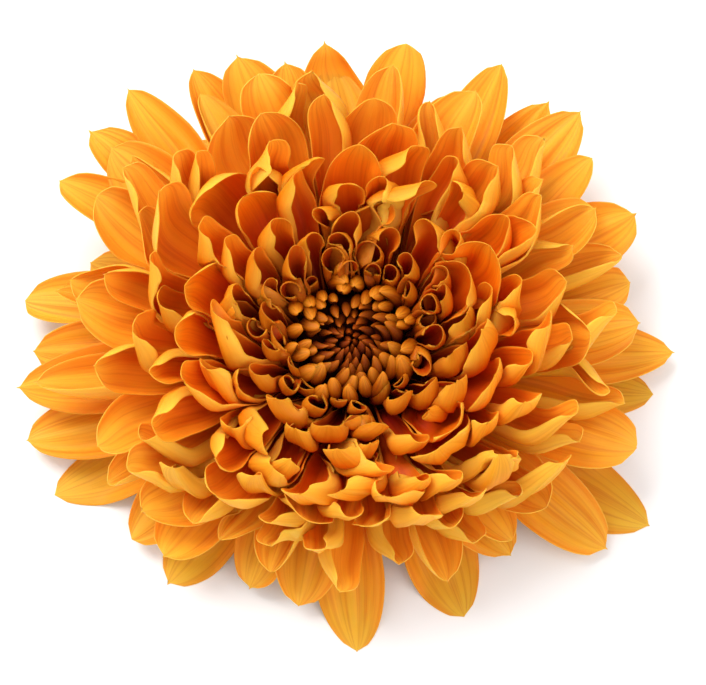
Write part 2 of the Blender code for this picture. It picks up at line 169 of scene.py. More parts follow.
# How a petal changes with its age. Bends and hooks are in degrees, turns of the margins in radians, and the claw,
# the widest place, the blunt end and the ribs are shares of its width or length.
GROWTH = {
    "root_reach": ((0, 7.0), (0.3, 7.4), (1, 7.6)),
    "root_height": ((0, 12.0), (0.3, 11.5), (0.6, 10.4), (1, 8.8)),
    "bend": ((0, 20), (0.2, 14), (0.35, 8), (0.5, 4), (0.8, -8), (1, -30)),
    "hook": ((0, 28), (0.1, 40), (0.25, 46), (0.5, 46), (0.7, 38), (1, 20)),
    "curl": ((0, 3.1), (0.08, 2.8), (0.16, 2.2), (0.3, 1.7), (0.5, 1.4), (0.65, 1.2), (0.8, 1.0), (1, 0.7)),
    "root_curl": ((0, 3.0), (0.4, 2.5), (1, 1.6)),
    "claw": ((0, 0.40), (0.3, 0.26), (1, 0.22)),
    "widest": ((0, 0.70), (0.5, 0.70), (1, 0.66)),
    "roll": ((0, 1.0), (0.1, 1.1), (0.2, 1.3), (0.35, 1.5), (0.6, 1.7), (1, 1.9)),
    "blunt": ((0, 0.5), (0.08, 0.36), (0.16, 0.12), (0.3, 0.06), (1, 0.05)),
    "width": ((0, 7.6), (0.06, 9.0), (0.15, 10.4), (0.3, 11.8), (0.5, 12.6), (0.8, 12.6), (1, 11.8)),
    "rib_depth": ((0, 0.02), (0.25, 0.045), (0.6, 0.075), (1, 0.1)),
}
ROLLED_SHARE = ((0, 0.5), (0.2, 0.75), (0.6, 0.75), (0.85, 0.6), (1, 0.25))
TIP_CURL_SHARE = ((0, 0.95), (0.3, 0.8), (1, 0.6))
MARGIN_TURN = ((0, 3.2), (0.2, 2.9), (0.75, 2.7), (1, 2.2))
LOWER_HOOK_SHARE = ((0, 0), (0.15, 1), (0.7, 1), (0.95, 0))
INNER_REACH = (
    (0, 11.2), (0.1, 14.2), (0.2, 18.5), (0.35, 25), (0.5, 31), (0.65, 36.5), (0.8, 41.5), (0.96, 46.5),
)
INNER_HEIGHT = (
    (0, 22.5), (0.1, 25.5), (0.2, 28), (0.35, 30), (0.5, 29.5), (0.65, 26), (0.8, 20), (0.96, 12),
)
# How petals of one age differ. Most are rolled over on their lower margin, the ones on the head's lower side are
# hooked more, a few are bent over sharply, and the rolled ones are narrower and more pointed.
BEND_SPREAD, HOOK_SPREAD = 7, 12
CURL_SPREAD, TIP_CURL_SPREAD, MARGIN_SPREAD = 0.12, 0.15, 0.2
LOWER_MARGIN_SHARE, BOTH_ROLLED_SHARE, LEAST_ROLL = 0.85, 0.05, 0.1
NEAR_MARGIN_LOOSE, FAR_MARGIN_LOOSE = (-0.2, 0.5), (-0.2, 0.4)
HOOKED_SIDE, LOWER_HOOK = math.radians(-75), 22
BENT_SHARE, BENT_FROM, BENT_BY = 0.06, 0.12, (15, 45)
LEAN_SPREAD, TWIST_SPREAD, INNER_TWIST_SPREAD, BEAK_SPREAD = 0.07, 0.15, 0.18, 0.06
ROLLED_TWIST, ROLLED_BEAK, ROLLED_WIDTH = 0.18, 0.09, 0.9
SHARPER, SHARPER_SHARE = (0.2, 0.5), 0.6
WIDTH_SPREAD = 0.07
TWO_RIBS_SHARE, RIB_DEPTH_SHARES = 0.5, (0.6, 1.5)
LEAST_WAVE, WAVE_SPREAD = 0.03, 0.06
LONGEST_APEX, APEX_FROM, APEX_PLACES = 0.017, 0.16, (-0.25, -0.1, 0.0, 0.1, 0.25)
# The inner petals' ages and places. The outer ones among them follow the rim's own outline.
OLDEST_INNER, AGEING = 0.96, 1.15
TURN_SPREAD = 0.06
OUTER_LAYERS = (0.3, 0.6)
NEAR_DEGREES = 15
MEAN_RIM_REACH, MEAN_RIM_HEIGHT = 48.5, 8
REACH_FOLLOWS, HEIGHT_FOLLOWS = 1.1, 0.6
REACH_SPREAD, FINE_REACH_SPREAD = 0.025, 0.03
HEIGHT_SPREAD, FINE_HEIGHT_SPREAD = 1.0, 0.6
INNER_POINT = 0.6
# The rim petals. The lowest of them rest on the floor, so they lie flat there.
RIM_AGE, YOUNGER_BY_HEIGHT = 0.85, 0.007
RIM_WIDTH, RIM_FOLD, RIM_POINT = 11.2, 0.4, 0.75
REST_AIM, REST_CURL = -2.0, 0.05
# Direction in degrees, reach and height of the tip, and how pointed it is.
RIM_PETALS = (
    (95, 48.4, 18, 0.8), (80, 48.6, 19, 0.1), (63, 51.6, 15, 0.7), (53, 50.9, 12, 0.7),
    (47, 52.0, 15, 0.6), (39, 47.8, 16, 0.6), (27, 49.0, 12, 0.1), (15, 44.6, 11, 0.1),
    (8, 44.7, 7, 0.2), (3, 50.1, 3, 0.8), (356, 47.2, 0, 0.7), (342, 45.0, 6, 0.1),
    (332, 52.0, 0, 0.8), (324, 48.2, 2, 0.2), (309, 38.5, 4, 0.5), (294, 42.5, 0, 0.7),
    (271, 44.1, 0, 0.7), (258, 38.8, 4, 0.4), (246, 38.2, 3, 0.3), (230, 43.7, 0, 0.4),
    (219, 43.5, 3, 0.6), (203, 50.0, 0, 0.7), (193, 51.4, 3, 0.4), (185, 51.3, 8, 0.7),
    (178, 49.1, 7, 0.4), (168, 52.1, 4, 0.1), (149, 52.4, 14, 0.5), (139, 53.6, 14, 0.3),
    (130, 54.0, 16, 0.7), (119, 50.6, 17, 0.6), (111, 49.2, 18, 0.2), (103, 45.7, 19, 0.3),
    (34, 44.0, 0, 0.4), (71, 45.5, 0, 0.4), (88, 43.0, 2, 0.4), (124, 46.5, 0, 0.4), (156, 45.0, 0, 0.4),
)
draw = np.random.default_rng(21)
detail = np.random.default_rng(4)
fine = np.random.default_rng(9)


def by_age(age, points):
    ages, values = zip(*points)
    return float(np.interp(age, ages, values))


def spread(width, source=draw):
    return float(np.clip(source.normal(0, width), -2 * width, 2 * width))


def rise(x, start, length):
    """0 up to the start, then a smooth rise to 1 over this length."""
    return ease((x - start) / length)


def towards_tip(s):
    return rise(s, *TIP_PART)


def aimed(petal, reach, height):
    """Sets the pitch and length with which the petal's tip lands at this reach and height."""
    bow = petal["bend"] * (STEPS - 0.5) + petal["hook"] * towards_tip(STEPS)
    onward, upward = np.cos(bow).mean(), np.sin(bow).mean()
    d_reach, d_height = reach - petal["root_reach"], height - petal["root_height"]
    petal["pitch"] = math.atan2(d_height, d_reach) - math.atan2(upward, onward)
    petal["length"] = math.hypot(d_reach, d_height) / math.hypot(onward, upward)
    petal["direction"] += math.atan2((petal["lean"] - petal["beak"]) * petal["length"], reach)
    return petal


def opened_petal(age, direction, reach, height, point):
    """One petal's own values. Most petals roll the margin that lies towards the head's lower side (-Y)."""
    lower = -1 if math.cos(direction) < 0 else 1
    draw_roll, draw_side = draw.random(), draw.random()
    rolled = draw_roll < by_age(age, ROLLED_SHARE)
    side = lower if draw_side < LOWER_MARGIN_SHARE else -lower
    petal = {name: by_age(age, points) for name, points in GROWTH.items()}
    petal.update(age=age, direction=direction, point=point, held=False, tone=fine.random())
    petal["bend"] += spread(BEND_SPREAD)
    petal["hook"] += spread(HOOK_SPREAD)
    petal["curl"] += spread(CURL_SPREAD)
    petal["tip_curl"] = petal["curl"] * by_age(age, TIP_CURL_SHARE) + spread(TIP_CURL_SPREAD)
    margin_turn = by_age(age, MARGIN_TURN) + spread(MARGIN_SPREAD, detail)
    rolled_over = max(margin_turn - petal["curl"], LEAST_ROLL)
    near_margin = rolled_over if rolled else detail.uniform(*NEAR_MARGIN_LOOSE)
    far_margin = rolled_over if detail.random() < BOTH_ROLLED_SHARE else detail.uniform(*FAR_MARGIN_LOOSE)
    petal["over"] = (near_margin, far_margin) if side > 0 else (far_margin, near_margin)
    petal["lean"] = spread(LEAN_SPREAD)
    inside_rim = age < RIM_AGE
    petal["twist"] = spread(TWIST_SPREAD)
    petal["twist"] += (spread(INNER_TWIST_SPREAD, detail) + ROLLED_TWIST * side * rolled) * inside_rim
    petal["beak"] = (ROLLED_BEAK * side * rolled + spread(BEAK_SPREAD, detail)) * inside_rim
    lower_hook = LOWER_HOOK * max(0.0, math.cos(direction - HOOKED_SIDE))
    more_hook = lower_hook * by_age(age, LOWER_HOOK_SHARE)
    more_hook += detail.uniform(*BENT_BY) * (detail.random() < BENT_SHARE) * (age > BENT_FROM)
    petal["hook"] = math.radians(petal["hook"] + more_hook)
    petal["bend"] = math.radians(petal["bend"])
    sharper = detail.uniform(*SHARPER)
    petal["ribs"] = 2 if fine.random() < TWO_RIBS_SHARE else 3
    petal["rib_depth"] *= fine.uniform(*RIB_DEPTH_SHARES)
    petal["wave"] = LEAST_WAVE + abs(spread(WAVE_SPREAD, fine))
    petal["phase"] = fine.uniform(0, 2 * math.pi)
    petal["apex"] = fine.uniform(0.0, LONGEST_APEX) * (age > APEX_FROM)
    petal["apex_at"] = fine.choice(APEX_PLACES)
    if rolled:
        petal["point"] = min(point + SHARPER_SHARE * sharper, 1.0)
        petal["width"] *= ROLLED_WIDTH
    petal["width"] *= 1 + spread(WIDTH_SPREAD, detail)
    return aimed(petal, reach, height)


def rim_petals():
    for direction, reach, height, point in RIM_PETALS:
        rests = height == 0
        aim = REST_AIM if rests else height
        petal = opened_petal(1 - YOUNGER_BY_HEIGHT * height, math.radians(direction), reach, aim, point)
        petal.update(held=True)
        if rests:
            petal.update(tip_curl=REST_CURL, twist=0, over=(0, 0))
        petal["point"] = RIM_POINT * point
        petal["over"] = tuple(RIM_FOLD * turn for turn in petal["over"])
        petal["width"] = max(petal["width"], RIM_WIDTH)
        yield petal


def near_rim(direction, column):
    """The rim's own reach or height in this direction, averaged over the rim petals near it."""
    rim = np.array(RIM_PETALS)
    apart = (rim[:, 0] - math.degrees(direction) + 180) % 360 - 180
    near = np.exp(-((apart / NEAR_DEGREES) ** 2))
    return float((rim[:, column] * near).sum() / near.sum())


def inner_petals():
    """The layers between the middle and the rim, each petal turned by the golden angle from the last."""
    for index in range(PETAL_COUNT):
        age = OLDEST_INNER * (index / (PETAL_COUNT - 1)) ** AGEING
        direction = (CLOSED_COUNT + index) * GOLDEN_ANGLE + spread(TURN_SPREAD)
        reach, height = by_age(age, INNER_REACH), by_age(age, INNER_HEIGHT)
        outer = float(rise(age, *OUTER_LAYERS))
        further = near_rim(direction, 1) / MEAN_RIM_REACH - 1
        reach *= 1 + REACH_FOLLOWS * outer * further + spread(REACH_SPREAD) + spread(FINE_REACH_SPREAD, detail)
        higher = near_rim(direction, 2) - MEAN_RIM_HEIGHT
        height += HEIGHT_FOLLOWS * outer * higher + spread(HEIGHT_SPREAD) + spread(FINE_HEIGHT_SPREAD, detail)
        yield opened_petal(age, direction, reach, height, INNER_POINT * detail.random() ** 3)


# Where along a blade each of its forms starts and over what length it grows, as shares of the blade's length, and
# the same for the fold across it, as shares of its half-width.
CLAW_END = 0.15
OPENS_OUT, FOLDS_OVER, BEAK_PART = (0.08, 0.5), (0.28, 0.36), (0.7, 0.3)
FOLD_ACROSS = (0.12, 0.58)
APEX_WIDTH = 0.6
CORNER_ROUNDING = 0.6
RIBS_START, RIBS_END, RIBS_FADE = (0, 0.4), 1.05, 0.3
WAVES_START = (0, 0.5)
WAVES_ALONG, WAVES_ACROSS = 8, 2


def blade_points(petal, s, t):
    """Points of the blade's inner face, s from root to tip and t from margin to margin, in millimetres."""
    length, half = petal["length"], petal["width"] / 2
    apex = petal["apex"] * np.exp(-(((t - petal["apex_at"]) / APEX_WIDTH) ** 2)) * s**5
    rounding = CORNER_ROUNDING * petal["blunt"] * np.abs(t) ** 2.5 * s**8
    s = s * (1 + apex - rounding)

    def pitch(x):
        return petal["pitch"] + petal["bend"] * (x - 0.5) + petal["hook"] * towards_tip(x)

    walk = pitch(s[:, None] * STEPS)
    out, up = length * s * np.cos(walk).mean(1), length * s * np.sin(walk).mean(1)
    swell = petal["claw"] + (1 - petal["claw"]) * rise(s, CLAW_END, petal["widest"] - CLAW_END)
    past = np.clip((s - petal["widest"]) / (1 - petal["widest"]), 0, 1)
    ending = np.maximum(1 - past ** (2.5 - 1.1 * petal["point"]), 0) ** (0.5 + 0.35 * petal["point"])
    taper = petal["blunt"] + (1 - petal["blunt"]) * ending
    wide = half * swell * taper
    open_out = rise(s, *OPENS_OUT)
    curl = petal["root_curl"] + (petal["curl"] - petal["root_curl"]) * open_out
    curl = curl + (petal["tip_curl"] - petal["curl"]) * towards_tip(s)
    reach = t[:, None] * STEPS
    fold = rise(s, *FOLDS_OVER) * np.where(t > 0, *petal["over"]) * taper**0.25
    turn = (curl * taper**0.4)[:, None] * np.abs(reach) ** petal["roll"]
    turn = (turn + fold[:, None] * rise(np.abs(reach), *FOLD_ACROSS)) * np.sign(reach)
    across, deep = wide * t * np.cos(turn).mean(1), wide * t * np.sin(turn).mean(1)
    groove = petal["rib_depth"] * np.cos(petal["ribs"] * math.pi * t) * (1 - t**4)
    groove = groove * rise(s, *RIBS_START) * ease((RIBS_END - s) / RIBS_FADE)
    waves = np.sin(WAVES_ALONG * s + petal["phase"] + WAVES_ACROSS * t)
    ruffle = petal["wave"] * waves * np.abs(t) ** 2.5 * rise(s, *WAVES_START) * taper
    deep = deep + half * (groove + ruffle)
    twist = petal["twist"] * s**1.5
    across, deep = across * np.cos(twist) - deep * np.sin(twist), across * np.sin(twist) + deep * np.cos(twist)
    across = across + petal["lean"] * length * s**2 - petal["beak"] * length * rise(s, *BEAK_PART) ** 2
    out = out - deep * np.sin(pitch(s))
    up = up + deep * np.cos(pitch(s))
    radius = petal["root_reach"] + out
    c, d = math.cos(petal["direction"]), math.sin(petal["direction"])
    return np.stack([radius * c + across * d, radius * d - across * c, petal["root_height"] + up], 1)


# The space that the closed florets fill, as radii at four heights, and how far the petals keep from it.
MIDDLE_HEIGHTS = (13.6, 14.6, 17, 21)
MIDDLE_RADII = (0, 0.82 * MIDDLE_RADIUS, 0.95 * MIDDLE_RADIUS, MIDDLE_RADIUS)
MIDDLE_GAP = 0.45
# How much closer together a blade's points lie at the tip and at the margins.
TIP_ROWS = 1.7
CLOSER_AT_MARGINS = 0.25


def flat_grid(columns, rows):
    """The flat blade that every petal starts from, with its points closer together at the tip and margins."""
    work = bmesh.new()
    shape_map = work.loops.layers.uv.new("petal")
    work.loops.layers.uv.new("tone")
    bmesh.ops.create_grid(work, x_segments=columns, y_segments=rows, size=1)
    for vertex in work.verts:
        vertex.co.x *= 1 + CLOSER_AT_MARGINS - CLOSER_AT_MARGINS * vertex.co.x**2
    for face in work.faces:
        face.smooth = True
        for loop in face.loops:
            place = loop.vert.co
            loop[shape_map].uv = (place.x / 2 + 0.5, 1 - ((1 - place.y) / 2) ** TIP_ROWS)
    mesh = bpy.data.meshes.new("flat_blade")
    work.to_mesh(mesh)
    work.free()
    return mesh


def placed(petal, flat):
    """The blade's points where the petal's rule puts them, clear of the closed florets and of the floor."""
    points = blade_points(petal, 1 - ((1 - flat[:, 1]) / 2) ** TIP_ROWS, flat[:, 0])
    radius = np.hypot(points[:, 0], points[:, 1])
    kept_free = np.interp(points[:, 2], MIDDLE_HEIGHTS, MIDDLE_RADII) + MIDDLE_GAP
    push = np.maximum(kept_free / np.maximum(radius, 1e-6), 1)
    points[:, :2] *= push[:, None]
    points[:, 2] = np.maximum(points[:, 2], LOWEST)
    return points


def hats(places, knots):
    """Weights that read a value given at the knots at each of the places, in straight lines between them."""
    return np.stack([np.interp(places, knots, row) for row in np.eye(len(knots))], 1)


# Petals are nestled on a coarser grid. Each point moves by shares of its own push, of its four neighbours' and of
# its row's mean, and the claws stay where they grow.
COARSE_COLUMNS = np.linspace(-1, 1, 9)
COARSE_ROWS = np.linspace(-1, 1, 15)
PETAL_GAP, NESTLE_REACH, BOX_MARGIN = 0.8, 2.5, 1
NESTLE_PASSES, NESTLE_FACING = 5, 0.6
OWN_SHARE, SIDE_SHARE, ROW_SHARE = 0.35, 0.1, 0.5
FREE_FROM_CLAW = (-1, 0.8)


def nestled(petals, flat):
    """Each petal's points, moved to the back of every younger petal that it would cut through."""
    across, along = (side.ravel() for side in np.meshgrid(COARSE_COLUMNS, COARSE_ROWS))
    coarse = np.stack([across, along], 1)
    wide, tall = len(COARSE_COLUMNS), len(COARSE_ROWS)
    cells = [
        (r * wide + c, r * wide + c + 1, (r + 1) * wide + c + 1, (r + 1) * wide + c)
        for r in range(tall - 1) for c in range(wide - 1)
    ]
    over_rows, over_columns = hats(flat[:, 1], COARSE_ROWS), hats(flat[:, 0], COARSE_COLUMNS)
    younger = []
    for petal in petals:
        points = placed(petal, coarse)
        start = points.copy()
        for _ in range(NESTLE_PASSES):
            shift = np.zeros_like(points)
            low, high = points.min(0) - BOX_MARGIN, points.max(0) + BOX_MARGIN
            near = [tree for tree, bottom, top in younger if (bottom < high).all() and (top > low).all()]
            for number, point in enumerate(points):
                for tree in near:
                    hit, normal, _, distance = tree.find_nearest(Vector(point), NESTLE_REACH)
                    if hit is None:
                        continue
                    depth = (Vector(point) - hit).dot(normal)
                    if depth > -PETAL_GAP and abs(depth) > NESTLE_FACING * distance:
                        shift[number] -= np.array(normal) * (depth + PETAL_GAP)
            sheet = shift.reshape(tall, wide, 3)
            padded = np.pad(sheet, ((1, 1), (1, 1), (0, 0)), mode="edge")
            around = padded[:-2, 1:-1] + padded[2:, 1:-1] + padded[1:-1, :-2] + padded[1:-1, 2:]
            whole_row = sheet.mean(1, keepdims=True)
            points = points + (OWN_SHARE * sheet + SIDE_SHARE * around + ROW_SHARE * whole_row).reshape(-1, 3)
            points[:, 2] = np.maximum(points[:, 2], LOWEST)
        moved = (points - start).reshape(tall, wide, 3) * rise(COARSE_ROWS, *FREE_FROM_CLAW)[:, None, None]
        if petal["held"]:
            moved = moved * (1 - ((COARSE_ROWS + 1) / 2) ** 3)[:, None, None]
        low, high = points.min(0), points.max(0)
        younger.append((BVHTree.FromPolygons([Vector(p) for p in start + moved.reshape(-1, 3)], cells), low, high))
        points = placed(petal, flat) + np.einsum("pr,pc,rck->pk", over_rows, over_columns, moved)
        points[:, 2] = np.maximum(points[:, 2], LOWEST)
        yield petal, points


def grow(grown, flat_mesh):
    """One mesh with a blade for each petal: copies of the flat blade with their points moved."""
    work = bmesh.new()
    for _ in grown:
        work.from_mesh(flat_mesh)
    every = np.concatenate([points for _, points in grown])
    for vertex, point in zip(work.verts, every):
        vertex.co = point
    tone_map = work.loops.layers.uv["tone"]
    faces = len(flat_mesh.polygons)
    for number, face in enumerate(work.faces):
        petal = grown[number // faces][0]
        for loop in face.loops:
            loop[tone_map].uv = (petal["age"], petal["tone"])
    return work


def thickened(piece, thickness):
    """Gives a blade its thickness, with its own material on the back and on the rim."""
    wall = piece.modifiers.new("wall", "SOLIDIFY")
    wall.thickness = thickness * MM
    wall.offset = -1
    wall.material_offset = 1
    wall.material_offset_rim = 2


# The petals' finish is satin, with streaks that run the length of every blade. The group gives the streaks, the
# place on the blade, and the petal's age and tone.
STREAKS_ACROSS, STREAKS_ALONG = 17, 1.3
STREAK_DETAIL, STREAK_ROUGHNESS = 3, 0.6
TONES_APART = 40

streaks = bpy.data.node_groups.new("petal_streaks", "ShaderNodeTree")
streaks.interface.new_socket("Fineness", in_out="INPUT", socket_type="NodeSocketFloat")
for name in ("Across", "Along", "Age", "Streak"):
    streaks.interface.new_socket(name, in_out="OUTPUT", socket_type="NodeSocketFloat")
given = streaks.nodes.new("NodeGroupInput")
out = streaks.nodes.new("NodeGroupOutput")
shape_uv = streaks.nodes.new("ShaderNodeUVMap")
shape_uv.uv_map = "petal"
tone_uv = streaks.nodes.new("ShaderNodeUVMap")
tone_uv.uv_map = "tone"
shape_parts = streaks.nodes.new("ShaderNodeSeparateXYZ")
tone_parts = streaks.nodes.new("ShaderNodeSeparateXYZ")
streaks.links.new(shape_uv.outputs["UV"], shape_parts.inputs["Vector"])
streaks.links.new(tone_uv.outputs["UV"], tone_parts.inputs["Vector"])
shift = streaks.nodes.new("ShaderNodeCombineXYZ")
own_streaks = streaks.nodes.new("ShaderNodeMath")
own_streaks.operation = "MULTIPLY"
own_streaks.inputs[1].default_value = TONES_APART
streaks.links.new(tone_parts.outputs["Y"], own_streaks.inputs[0])
streaks.links.new(shape_parts.outputs["X"], shift.inputs["X"])
streaks.links.new(shape_parts.outputs["Y"], shift.inputs["Y"])
streaks.links.new(own_streaks.outputs["Value"], shift.inputs["Z"])
scale = streaks.nodes.new("ShaderNodeCombineXYZ")
scale.inputs["Y"].default_value = STREAKS_ALONG
scale.inputs["Z"].default_value = 1
streaks.links.new(given.outputs["Fineness"], scale.inputs["X"])
stretch = streaks.nodes.new("ShaderNodeVectorMath")
stretch.operation = "MULTIPLY"
streaks.links.new(shift.outputs["Vector"], stretch.inputs[0])
streaks.links.new(scale.outputs["Vector"], stretch.inputs[1])
lines = streaks.nodes.new("ShaderNodeTexNoise")
lines.inputs["Scale"].default_value = 1
lines.inputs["Detail"].default_value = STREAK_DETAIL
lines.inputs["Roughness"].default_value = STREAK_ROUGHNESS
streaks.links.new(stretch.outputs["Vector"], lines.inputs["Vector"])
streaks.links.new(shape_parts.outputs["X"], out.inputs["Across"])
streaks.links.new(shape_parts.outputs["Y"], out.inputs["Along"])
streaks.links.new(tone_parts.outputs["X"], out.inputs["Age"])
streaks.links.new(lines.outputs["Fac"], out.inputs["Streak"])


def streaked(tree, fineness):
    marks = tree.nodes.new("ShaderNodeGroup")
    marks.node_tree = streaks
    marks.inputs["Fineness"].default_value = fineness
    return marks


def blended(tree, factor, first, second):
    """A colour between two, by a factor socket."""
    node = tree.nodes.new("ShaderNodeMix")
    node.data_type = "RGBA"
    tree.links.new(factor, node.inputs["Factor"])
    tree.links.new(first, node.inputs[6])
    tree.links.new(second, node.inputs[7])
    return node.outputs[2]


def tinted(tree, factor, color, code):
    """A colour with a fixed one mixed in by a factor socket."""
    node = tree.nodes.new("ShaderNodeMix")
    node.data_type = "RGBA"
    tree.links.new(factor, node.inputs["Factor"])
    tree.links.new(color, node.inputs[6])
    node.inputs[7].default_value = linear(code)
    return node.outputs[2]


def worked_out(tree, operation, first, second=None):
    """A Math node on sockets, or on a socket and a number."""
    node = tree.nodes.new("ShaderNodeMath")
    node.operation = operation
    tree.links.new(first, node.inputs[0])
    if isinstance(second, float):
        node.inputs[1].default_value = second
    elif second is not None:
        tree.links.new(second, node.inputs[1])
    return node.outputs["Value"]


def from_midline(tree, marks):
    """How far across the blade a place lies from its midline, 0.5 at the margins."""
    return worked_out(tree, "ABSOLUTE", worked_out(tree, "SUBTRACT", marks.outputs["Across"], 0.5))


def embossed(tree, shader, height, strength, depth):
    bump = tree.nodes.new("ShaderNodeBump")
    bump.inputs["Strength"].default_value = strength
    bump.inputs["Distance"].default_value = depth * MM
    tree.links.new(height, bump.inputs["Height"])
    tree.links.new(bump.outputs["Normal"], shader.inputs["Normal"])


def reached(tree, source, low, high, top=1.0):
    """0 below low, top above high, and a smooth rise between."""
    node = tree.nodes.new("ShaderNodeMapRange")
    node.interpolation_type = "SMOOTHSTEP"
    tree.links.new(source, node.inputs["Value"])
    for name, value in (("From Min", low), ("From Max", high), ("To Min", 0.0), ("To Max", top)):
        node.inputs[name].default_value = value
    return node.outputs["Result"]


# Between which ages the petals' colours change, where along the blade the margin's colour sets in, and how light
# goes through the thin blades. The margin's colour is held back towards the root as painted shade deep in the head.
GROWN_UP_AGES, OLD_AGES = (0.0, 0.4), (0.33, 0.85)
STREAK_RANGE = (0.4, 0.75)
MARGIN_ALONG = (0.25, 0.8)
PETAL_ROUGHNESS, PETAL_SPECULAR = 0.5, 0.14
STREAK_RELIEF = (0.25, 0.15)
GLOW, GLOW_COLOR_REACH, GLOW_SCALE = 0.4, (1.0, 0.35, 0.08), 1.0


def petal_finish(name, young, grown_up, old, streak_color, streak_share, margin=None):
    """A petal's surface: colours from root to tip for three ages, mixed by the petal's own age, and fine streaks.
    The darker roots and young petals are partly the petals' own deeper red, partly painted shade deep in the head. A
    margin is its colour, where it starts as the distance from the blade's midline, how strong it gets, and the age
    at which it is that strong. Below that age the margin fades out, as painted shade on the young, inner petals."""
    material, tree, shader = surface(name, PETAL_ROUGHNESS, PETAL_SPECULAR)
    marks = streaked(tree, STREAKS_ACROSS)
    ramps = [ramp(tree, stops) for stops in (young, grown_up, old)]
    for node in ramps:
        tree.links.new(marks.outputs["Along"], node.inputs["Fac"])
    color = ramps[0].outputs["Color"]
    for node, ages in ((ramps[1], GROWN_UP_AGES), (ramps[2], OLD_AGES)):
        color = blended(tree, reached(tree, marks.outputs["Age"], *ages), color, node.outputs["Color"])
    streak = reached(tree, marks.outputs["Streak"], *STREAK_RANGE, streak_share)
    color = tinted(tree, streak, color, streak_color)
    if margin:
        edge_color, start, strength, grown = margin
        share = reached(tree, from_midline(tree, marks), start, 0.5, strength)
        share = worked_out(tree, "MULTIPLY", share, reached(tree, marks.outputs["Age"], -0.01, grown))
        share = worked_out(tree, "MULTIPLY", share, reached(tree, marks.outputs["Along"], *MARGIN_ALONG))
        color = tinted(tree, share, color, edge_color)
    tree.links.new(color, shader.inputs["Base Color"])
    embossed(tree, shader, marks.outputs["Streak"], *STREAK_RELIEF)
    shader.inputs["Subsurface Weight"].default_value = GLOW
    shader.inputs["Subsurface Radius"].default_value = GLOW_COLOR_REACH
    shader.inputs["Subsurface Scale"].default_value = GLOW_SCALE * MM
    return material


# The colours below darken towards the root, most on the young, inner petals: partly the petals' own deeper red base,
# partly painted shade deep inside the head.
petal_inside = petal_finish(
    "petal_inside",
    ((0, "#260100"), (0.4, "#540300"), (0.65, "#841000"), (0.88, "#a83400"), (1, "#c86408")),
    ((0, "#420200"), (0.35, "#980e00"), (0.6, "#dc4400"), (0.85, "#fa7c08"), (1, "#fc9e1e")),
    ((0, "#8e2400"), (0.35, "#e86608"), (0.65, "#f6981c"), (0.9, "#f6ae32"), (1, "#f0b23c")),
    "#bc3c00", 0.45, ("#f08a1c", 0.26, 0.6, 0.2),
)
petal_back = petal_finish(
    "petal_back",
    ((0, "#300400"), (0.4, "#701800"), (0.7, "#a84400"), (1, "#d87c12")),
    ((0, "#541000"), (0.35, "#a23200"), (0.62, "#ce5a00"), (0.85, "#ec820c"), (1, "#fcaa2a")),
    ((0, "#a84400"), (0.4, "#de7604"), (0.75, "#f4a022"), (1, "#f8ba40")),
    "#c46404", 0.4, ("#fdc244", 0.2, 0.7, 0.42),
)
petal_margin = petal_finish(
    "petal_margin",
    ((0, "#3a0a00"), (0.5, "#702404"), (1, "#b0600e")),
    ((0, "#501000"), (0.5, "#a84c08"), (1, "#e08e20")),
    ((0, "#904008"), (0.4, "#e08a1c"), (1, "#f4b440")),
    "#dc8a18", 0.2,
)

BLADE_GRID = (14, 22)
flat_mesh = flat_grid(*BLADE_GRID)
flat = np.array([v.co for v in flat_mesh.vertices])
outermost = sorted(rim_petals(), key=lambda petal: petal["age"])
grown = list(nestled([*inner_petals(), *outermost], flat))
for name, first, last in (
    ("inner_layers", 0, PETAL_COUNT // 2),
    ("outer_layers", PETAL_COUNT // 2, PETAL_COUNT),
    ("rim_petals", PETAL_COUNT, len(grown)),
):
    work = grow(grown[first:last], flat_mesh)
    blades = piece_of(work, name, [petal_inside, petal_back, petal_margin], "ray_petal", "ray_florets")
    thickened(blades, PETAL_THICKNESS)

# The closed florets of the middle haven't opened yet. The youngest are thin dark fingers that lean to the centre,
# and the ones round them are fat golden buds with a slit on the side of the centre, painted near black as painted
# shade in the slit. The fingers' darkness and the florets' near-black roots are partly their own deep red, partly
# painted shade between them. They stand on the top of the receptacle.
FLORET_SIDES, FLORET_RINGS = 16, 14
# From the middle out they stand further apart, and they get thicker, higher and longer, with their tips less far in.
DISC_FILLED, DISC_PACKING = 0.96, 0.58
THINNEST, THICKER_WITH_AGE = 0.66, 0.70
ROOT_PLACE, TIP_PLACE, TIP_OUT_WITH_AGE = 0.97, 0.55, 0.38
DISC_HEIGHT, DISC_RISE = 18.2, 3.2
SHORTEST, LONGER_WITH_AGE = 2.2, 3.4
BUD_AGES = (0.25, 0.5)
SWIRL = 0.4
SLIT_WIDTH, SLIT_PART, SLIT_DEPTH, BUD_SLIT_DEPTH = 0.45, (0.4, 0.4), 0.25, 0.4
FLATTER_SIDEWAYS = 0.92
PLACE_SPREAD, GIRTH_SPREAD, TIP_SPREAD, TOP_SPREAD = 0.14, 0.12, 0.35, 0.4
SWIRL_SPREAD, ROUND_SPREAD, SLIT_SPREAD = 0.2, 0.08, 0.5
DOME_STEPS = 40
DOME = ((0, 13.8), (7.6, 13.8), (8.4, 15.6), (6.6, 16.6), (3.5, 16.6), (0, 16.4))

